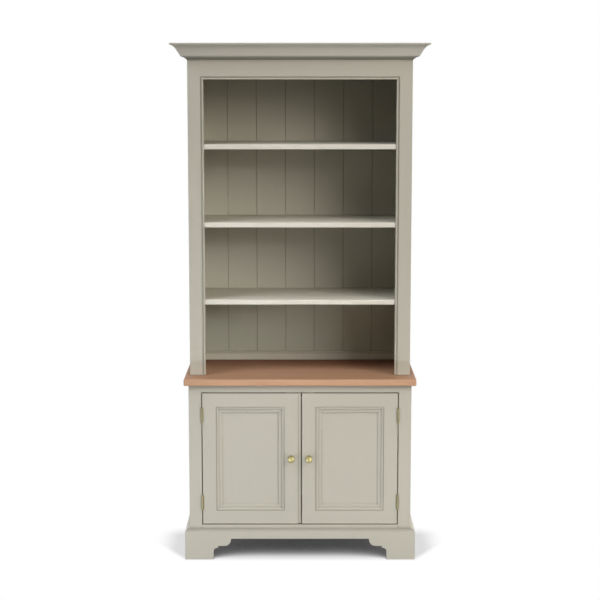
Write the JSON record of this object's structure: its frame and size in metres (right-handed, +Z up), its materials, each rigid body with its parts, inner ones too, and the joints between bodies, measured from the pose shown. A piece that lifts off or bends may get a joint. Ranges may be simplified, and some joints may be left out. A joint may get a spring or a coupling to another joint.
{
  "type": "bookcase cabinet",
  "caption": "Painted bookcase: an open shelf rack with a boarded back and a cornice, standing on a panelled base cupboard with hinged doors, an oak top and a bracket-foot plinth.",
  "frame": {"origin": "on the floor under the middle of the whole object's box", "axes": "+Z up, -Y out of the front with the doors, +Y to the wall, +X to the right when facing the front"},
  "size_m": [1.012, 0.483, 2.05],
  "materials": {
    "paint": "stone-grey eggshell paint on wood",
    "oak": "oiled oak",
    "brass": "satin brass",
    "steel": "zinc-plated steel",
    "plastic": "matte moulded plastic"
  },
  "bodies": {
    "cabinet": {"base_left_side": "paint", "base_right_side": "paint", "base_floor": "paint", "base_back": "paint", "base_left_stile": "paint", "base_right_stile": "paint", "base_top_rail": "paint", "base_bottom_rail": "paint", "cupboard_shelf": "paint", "cupboard_bearer_left": "paint", "cupboard_bearer_right": "paint", "worktop": "oak", "plinth_front": "paint", "plinth_left": "paint", "plinth_right": "paint", "door_catch": "plastic", "rack_left_side": "paint", "rack_right_side": "paint", "rack_left_stile": "paint", "rack_right_stile": "paint", "rack_frieze": "paint", "rack_roof": "paint", "back_board_1": "paint", "back_board_2": "paint", "back_board_3": "paint", "back_board_4": "paint", "back_board_5": "paint", "back_board_6": "paint", "back_board_7": "paint", "back_rail": "paint", "rack_shelf_1": "paint", "rack_shelf_2": "paint", "rack_shelf_3": "paint", "cornice_front": "paint", "cornice_left": "paint", "cornice_right": "paint", "left_upper_hinge_frame_leaf": "brass", "left_lower_hinge_frame_leaf": "brass", "right_upper_hinge_frame_leaf": "brass", "right_lower_hinge_frame_leaf": "brass"},
    "left_door": {"left_door_hinge_stile": "paint", "left_door_meeting_stile": "paint", "left_door_top_rail": "paint", "left_door_bottom_rail": "paint", "left_door_panel": "paint", "left_door_moulding": "paint", "left_door_knob": "brass", "left_door_strike": "steel", "left_upper_hinge_door_leaf": "brass", "left_lower_hinge_door_leaf": "brass"},
    "right_door": {"right_door_hinge_stile": "paint", "right_door_meeting_stile": "paint", "right_door_top_rail": "paint", "right_door_bottom_rail": "paint", "right_door_panel": "paint", "right_door_moulding": "paint", "right_door_knob": "brass", "right_door_strike": "steel", "right_upper_hinge_door_leaf": "brass", "right_lower_hinge_door_leaf": "brass"}
  },
  "joints": [
    {"name": "left_door_hinge", "type": "hinge", "parent": "cabinet", "child": "left_door", "pos_m": [-0.38995, -0.2135, 0.40875], "axis": [0, 0, -1], "range_deg": [0, 180]},
    {"name": "right_door_hinge", "type": "hinge", "parent": "cabinet", "child": "right_door", "pos_m": [0.38995, -0.2135, 0.40875], "axis": [0, 0, 1], "range_deg": [0, 180]}
  ]
}
